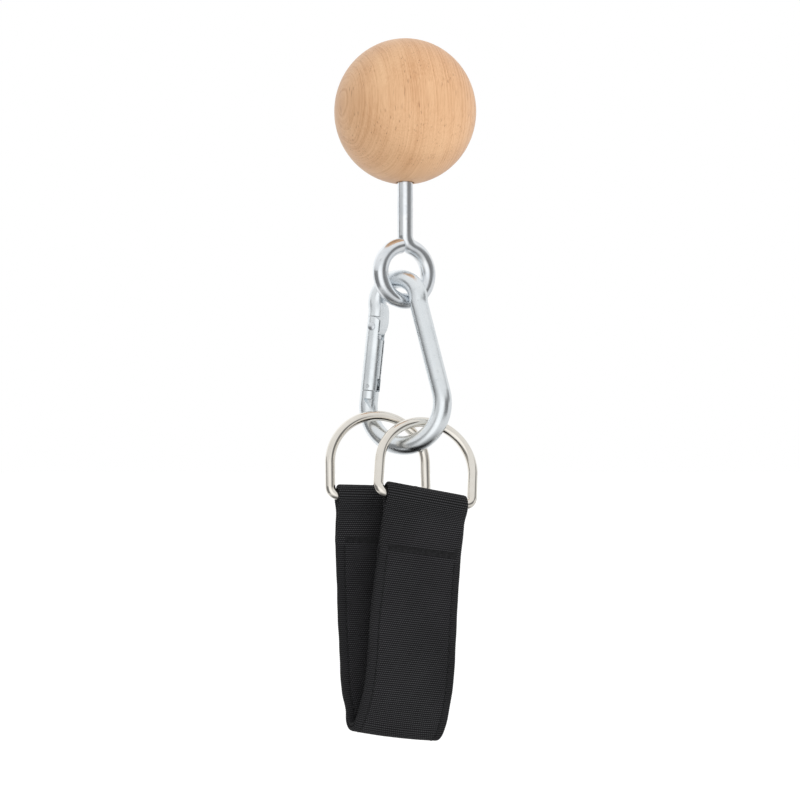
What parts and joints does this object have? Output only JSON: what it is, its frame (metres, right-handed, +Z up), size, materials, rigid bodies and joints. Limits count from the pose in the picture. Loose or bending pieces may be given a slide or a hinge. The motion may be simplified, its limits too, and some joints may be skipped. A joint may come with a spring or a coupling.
{
  "type": "suspension ball grip",
  "caption": "Wooden ball grip on a bent eye bolt, with a sprung snap hook and a webbing sling hung from D rings.",
  "frame": {"origin": "centre of the wooden ball", "axes": "+Z up along the eye bolt from the sling towards the ball, -Y is the front, +X to the right seen from the front"},
  "size_m": [0.0838, 0.0804, 0.3914],
  "materials": {
    "wood": "fine sanded, clear satin lacquer, pale hardwood with close grain",
    "wood_plug": "fine sanded, clear satin lacquer",
    "zinc": "bright zinc plate",
    "rivet_steel": "zinc plated, slightly duller",
    "spring_steel": "drawn spring wire",
    "nickel": "bright nickel plate, warm tint",
    "nylon": "nylon locking ring",
    "webbing": "black nylon webbing, close ribbed weave, sewn in black thread"
  },
  "bodies": {
    "ball": {"wooden_ball": "wood", "top_plug": "wood_plug", "flat_washer": "zinc", "lock_nut": "zinc", "nut_insert": "nylon", "eye_bolt": "zinc"},
    "hook": {"hook_body": "zinc"},
    "gate": {"gate_sleeve": "zinc", "hinge_rivet": "rivet_steel", "latch_pin": "rivet_steel", "gate_spring": "spring_steel"},
    "plunger": {"gate_plunger": "rivet_steel"},
    "front_ring": {"front_d_ring": "nickel"},
    "front_leg": {"strap_front": "webbing"},
    "back_leg": {"strap_back": "webbing"},
    "back_ring": {"back_d_ring": "nickel"}
  },
  "joints": [
    {"name": "hook_swing", "type": "hinge", "parent": "ball", "child": "hook", "pos_m": [-0.00328, -0.00201, -0.10505], "axis": [0.616, 0.7598, -0.2079], "range_deg": [-20, 35]},
    {"name": "gate_open", "type": "hinge", "parent": "hook", "child": "gate", "pos_m": [-0.0168, 0.00278, -0.12139], "axis": [-0.4349, -0.894, 0.108], "range_deg": [0, 24], "stiffness_Nm_per_rad": 0.12, "springref_deg": -20.05},
    {"name": "plunger_slide", "type": "slide", "parent": "gate", "child": "plunger", "axis": [-0.0992, -0.0717, -0.9925], "range_m": [0, 0.0015], "deforming": ["gate_spring"]},
    {"name": "sling_swing", "type": "hinge", "parent": "hook", "child": "front_ring", "pos_m": [-0.00073, -0.01561, -0.1887], "axis": [0.5727, -0.8194, 0.0244], "range_deg": [-18, 15]},
    {"name": "sling_open", "type": "hinge", "parent": "front_ring", "child": "front_leg", "pos_m": [0.01071, -0.02901, -0.21527], "axis": [-0.9487, -0.2659, 0.1708], "range_deg": [0, 8]},
    {"name": "foot_fold", "type": "hinge", "parent": "front_leg", "child": "back_leg", "pos_m": [-0.00688, -0.01635, -0.34688], "axis": [-0.9481, -0.2629, 0.1788], "range_deg": [0, 3]},
    {"name": "back_ring_turn", "type": "hinge", "parent": "back_leg", "child": "back_ring", "pos_m": [-0.01465, -0.01843, -0.21428], "axis": [-0.9705, -0.2402, 0.0193], "range_deg": [-19.5, 0]}
  ],
  "couplings": [
    {"joint": "plunger_slide", "follows": "gate_open", "m_per_rad": 0.0032},
    {"joint": "foot_fold", "follows": "sling_open", "ratio": 0.35},
    {"joint": "back_ring_turn", "follows": "sling_open", "ratio": -2.375}
  ]
}
